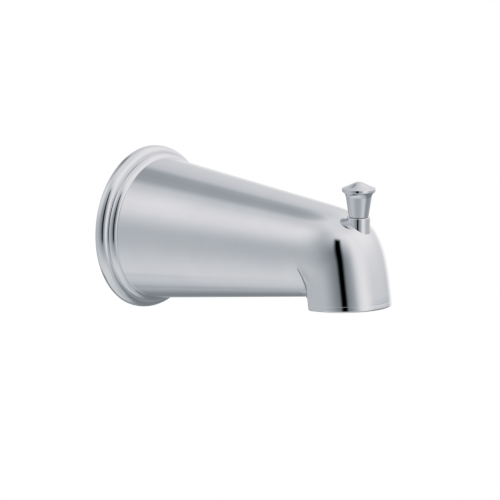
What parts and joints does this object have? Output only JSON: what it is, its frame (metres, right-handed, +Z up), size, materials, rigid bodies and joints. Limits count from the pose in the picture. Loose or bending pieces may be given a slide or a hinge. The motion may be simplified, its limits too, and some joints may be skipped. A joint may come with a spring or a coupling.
{
  "type": "bath spout",
  "caption": "Chrome bath spout: tapered round body on a ringed wall flange, elbow nose with an open round outlet, and a flared knob that lifts an inner gate to divert the water.",
  "frame": {"origin": "centre of the flange's back face, in the wall plane on the supply-pipe axis", "axes": "+Y into the wall along the supply pipe, the spout reaching out along -Y; +Z up along the lift rod; +X to the right as seen facing the wall"},
  "size_m": [0.076, 0.14, 0.076],
  "materials": {
    "chrome_plate": "polished chrome plate on zinc die casting",
    "brass": "turned, bare",
    "stainless_steel": "drawn and ground",
    "acetal": "moulded, off-white",
    "nitrile_rubber": "moulded, black"
  },
  "bodies": {
    "spout": {"spout_body": "chrome_plate", "inlet_bushing": "brass", "stem_gland": "chrome_plate", "stem_o_ring": "nitrile_rubber"},
    "diverter": {"knob": "chrome_plate", "lift_rod": "stainless_steel", "gate": "acetal", "gate_washer": "nitrile_rubber", "washer_rivet": "brass"}
  },
  "joints": [
    {"name": "diverter_lift", "type": "slide", "parent": "spout", "child": "diverter", "axis": [0, 0, 1], "range_m": [0, 0.0115]}
  ]
}
